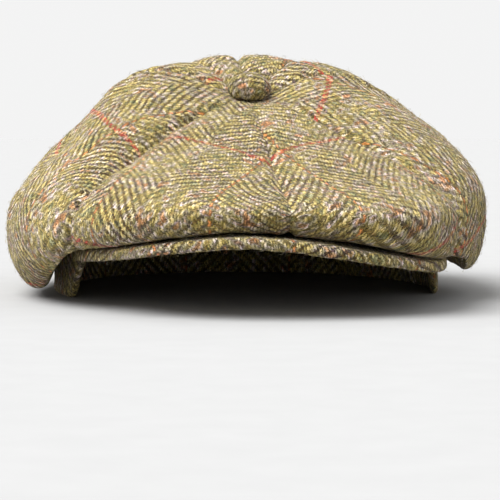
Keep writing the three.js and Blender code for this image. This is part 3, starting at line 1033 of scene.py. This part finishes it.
def sow(draws, count, points, where=1.0):
    """Roots spread evenly over a grid of points, with the directions outward and along it."""
    across = points[1:, :-1] - points[:-1, :-1]
    along = points[:-1, 1:] - points[:-1, :-1]
    outward = np.cross(along, across)
    area = np.linalg.norm(outward, axis=-1) * where
    chosen = draws.choice(area.size, count, p=(area / area.sum()).ravel())
    cell = np.unravel_index(chosen, area.shape)
    root = points[:-1, :-1][cell] + across[cell] * draws.random((count, 1))
    root = root + along[cell] * draws.random((count, 1))
    outward = unit(outward[cell])
    side = unit(across[cell])
    return np.stack([root, outward, side, np.cross(outward, side)])


def fibre_faces():
    """The triangles of one hair: its closed root, its sides in two parts, and its tip."""
    index = index_grid(len(FIBRE_PARTS), FIBRE_CORNERS)
    halves = corners_round(index).reshape(-1, 4)[:, [[0, 3, 2], [0, 2, 1]]].reshape(-1, 3)
    tip = [(here, there, index.size) for here, there in zip(index[-1], np.roll(index[-1], -1))]
    return np.concatenate([index[:1, ::-1], halves, tip])


def make_fibres(name, draws, ground, material):
    """Thin bent hairs of wool, a little off the cloth, each closed and of one colour."""
    root, outward, side, other = ground
    count = len(root)
    length_span = np.log([FIBRE["shortest"], FIBRE["longest"]])
    length = np.exp(draws.uniform(*length_span, count))
    heading = draws.uniform(0, FULL_TURN, count)
    bend = draws.normal(0, 1.0, count)
    rise = draws.uniform(FIBRE["flat"], FIBRE["steep"], count)
    rise = rise + FIBRE["stray"] * draws.random(count) ** FIBRE["fewness"]
    place = root - outward * FIBRE["sunk"]
    spine = [place]
    for share, lean in FIBRE_PARTS:
        lie = side * np.cos(heading)[:, None] + other * np.sin(heading)[:, None]
        up = (rise * lean)[:, None]
        way = lie * np.cos(up) + outward * np.sin(up)
        place = place + way * (length * share)[:, None]
        spine.append(place)
        heading = heading + bend
    radius = draws.uniform(FIBRE["thin"], FIBRE["thick"], count)[:, None]
    rings = []
    for number in range(len(spine) - 1):
        way = unit(spine[number + 1] - spine[number])
        left = unit(np.cross(way, outward))
        top = np.cross(left, way)
        for angle in turns_round(FIBRE_CORNERS):
            off = left * math.cos(angle) + top * math.sin(angle)
            rings.append(spine[number] + off * radius)
    vertices = np.stack([*rings, spine[-1]], axis=1)
    each = vertices.shape[1]
    triangles = (fibre_faces() + each * np.arange(count)[:, None, None]).reshape(-1, 3)

    # each hair has a small place of its own on a map, and its colour comes from where that is
    hue = draws.uniform(FIBRE_MAP_EDGE, 1 - FIBRE_MAP_EDGE, (count, 1))
    shade = draws.uniform(FIBRE_MAP_EDGE, 1 - FIBRE_MAP_EDGE, (count, 1))
    spot = np.linspace(-FIBRE_SPOT, FIBRE_SPOT, each)
    uv = join(hue + spot, shade + np.roll(spot, FIBRE_CORNERS)).reshape(-1, 2) / MM
    # the second is the one that an export reads
    maps = ("cloth", "OFBake")      # the same places again, in a second map named OFBake
    vertices = head_shift(vertices.reshape(-1, 3))
    piece = mesh_object(name, vertices, [triangles], [uv[triangles]], material, maps)
    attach(piece, "root")


def make_fibre_wool():
    """Each hair's colour, from its place on its map: hue one way and lightness the other."""
    material, tree, shader = new_material("loose_wool", FIBRE_SHADER)
    hue, shade = cloth_place(tree)
    lightness = lerp(*FIBRE_SHADE, shade)
    colour = scale_colour(palette(hue, FIBRE_COLOURS), lightness, lightness, lightness)
    tree.links.new(colour, shader.inputs["Base Color"])
    return material


# ---- the studio

CAMERA = {
    "azimuth": -7,
    "elevation": 3.7,
    "distance": 1000,
    "aim_z": 17,
    "aim_right": 2.17,
}
LENS = {"lens": 165.9, "sensor_width": 36, "clip_start": 0.05, "clip_end": 20}
FLOOR = {"radius": 4000.0, "inner_share": 0.4, "round": 96, "rings": 8}
FLOOR_GRAIN = 60
FLOOR_COLOURS = ((160, 160, 160), (165, 165, 165))
FLOOR_SHADER = {"Roughness": 1.0, "Specular IOR Level": 0.0}
SKY = 0.9
SUNS = [                    # name, azimuth, elevation, softness in degrees, strength
    ("key", -68, 58, 50, 4.45),
    ("top", -120, 60, 60, 1.3),
]


def direction(azimuth, elevation):
    """Outward from the cap, in degrees: azimuth 0 is its front, and 90 is +X."""
    turn, rise = math.radians(azimuth), math.radians(elevation)
    level = math.cos(rise)
    return Vector((math.sin(turn) * level, -math.cos(turn) * level, math.sin(rise)))


def add_facing(name, data, place, facing, axis):
    thing = add_object(name, data)
    thing.location = place
    thing.rotation_mode = "QUATERNION"
    thing.rotation_quaternion = facing.to_track_quat(axis, "Y")
    return thing


def make_camera():
    data = bpy.data.cameras.new("camera")
    for name, value in LENS.items():
        setattr(data, name, value)
    back = direction(CAMERA["azimuth"], CAMERA["elevation"])
    right = direction(CAMERA["azimuth"] + 90, 0)
    aim = Vector((HEAD_X, HEAD_Y, CAMERA["aim_z"])) + right * CAMERA["aim_right"]
    place = (aim + back * CAMERA["distance"]) * MM
    bpy.context.scene.camera = add_facing("camera", data, place, -back, "-Z")


def make_floor():
    """A wide pale disc, about as bright as the sky, so that no line shows at its end."""
    turns = turns_round(FLOOR["round"])
    radii = np.geomspace(FLOOR["inner_share"], 1, FLOOR["rings"])[:, None] * FLOOR["radius"]
    x, y = radii * np.cos(turns), radii * np.sin(turns)
    vertices = join(x, y, 0).reshape(-1, 3)
    index = index_grid(*x.shape)
    faces = [corners_round(index).reshape(-1, 4), index[:1]]
    material, tree, shader = new_material("floor_paper", FLOOR_SHADER)
    place = add_node(tree, "TexCoord", {}).outputs["Object"]
    grain = add_node(tree, "TexNoise", {"Vector": place, "Scale": FLOOR_GRAIN})
    colour = mix_colour(Field(tree, grain.outputs["Fac"]), *FLOOR_COLOURS)
    tree.links.new(colour, shader.inputs["Base Color"])
    uvs = [vertices[part][..., :2] for part in faces]
    mesh_object("floor", vertices, faces, uvs, material)


def make_lights():
    """An even white sky, and soft lights from far away."""
    world = bpy.data.worlds.new("studio")
    bpy.context.scene.world = world
    world.use_nodes = True
    background = world.node_tree.nodes["Background"]
    background.inputs["Color"].default_value = (1, 1, 1, 1)
    background.inputs["Strength"].default_value = SKY
    for name, azimuth, elevation, softness, strength in SUNS:
        data = bpy.data.lights.new(name, "SUN")
        data.angle = math.radians(softness)
        data.energy = strength
        toward = direction(azimuth, elevation)
        add_facing(name, data, toward * 2, toward, "Z")


# ---- the cap

make_camera()
make_floor()
make_lights()
bpy.context.scene.view_settings.view_transform = "Standard"

crown_tweed = make_tweed("crown_tweed")
peak_tweed = make_tweed("peak_tweed")
band_tweed = make_tweed("band_tweed")
button_tweed = make_tweed("button_tweed", overcheck=False)

make_band(band_tweed)
peak_points = make_peak(peak_tweed)
button_points = make_button(button_tweed)

fibre_wool = make_fibre_wool()
draws = np.random.default_rng(FIBRE_SEED)
front_ground = []
back_ground = []
for gore_number in range(len(GORES)):
    face, stretch = make_gore(gore_number, crown_tweed)
    shown = (stretch[:-1, :-1] < SHOWN_STRETCH).astype(float)
    in_front = gore_number in FRONT_GORES
    count = FIBRES["gore" if in_front else "back_gore"]
    (front_ground if in_front else back_ground).append(sow(draws, count, face, shown))
front_ground.append(sow(draws, FIBRES["peak"], peak_points))
front_ground.append(sow(draws, FIBRES["button"], button_points.transpose(1, 0, 2)))
make_fibres("wool_fibres_front", draws, np.concatenate(front_ground, axis=1), fibre_wool)
make_fibres("wool_fibres_back", draws, np.concatenate(back_ground, axis=1), fibre_wool)
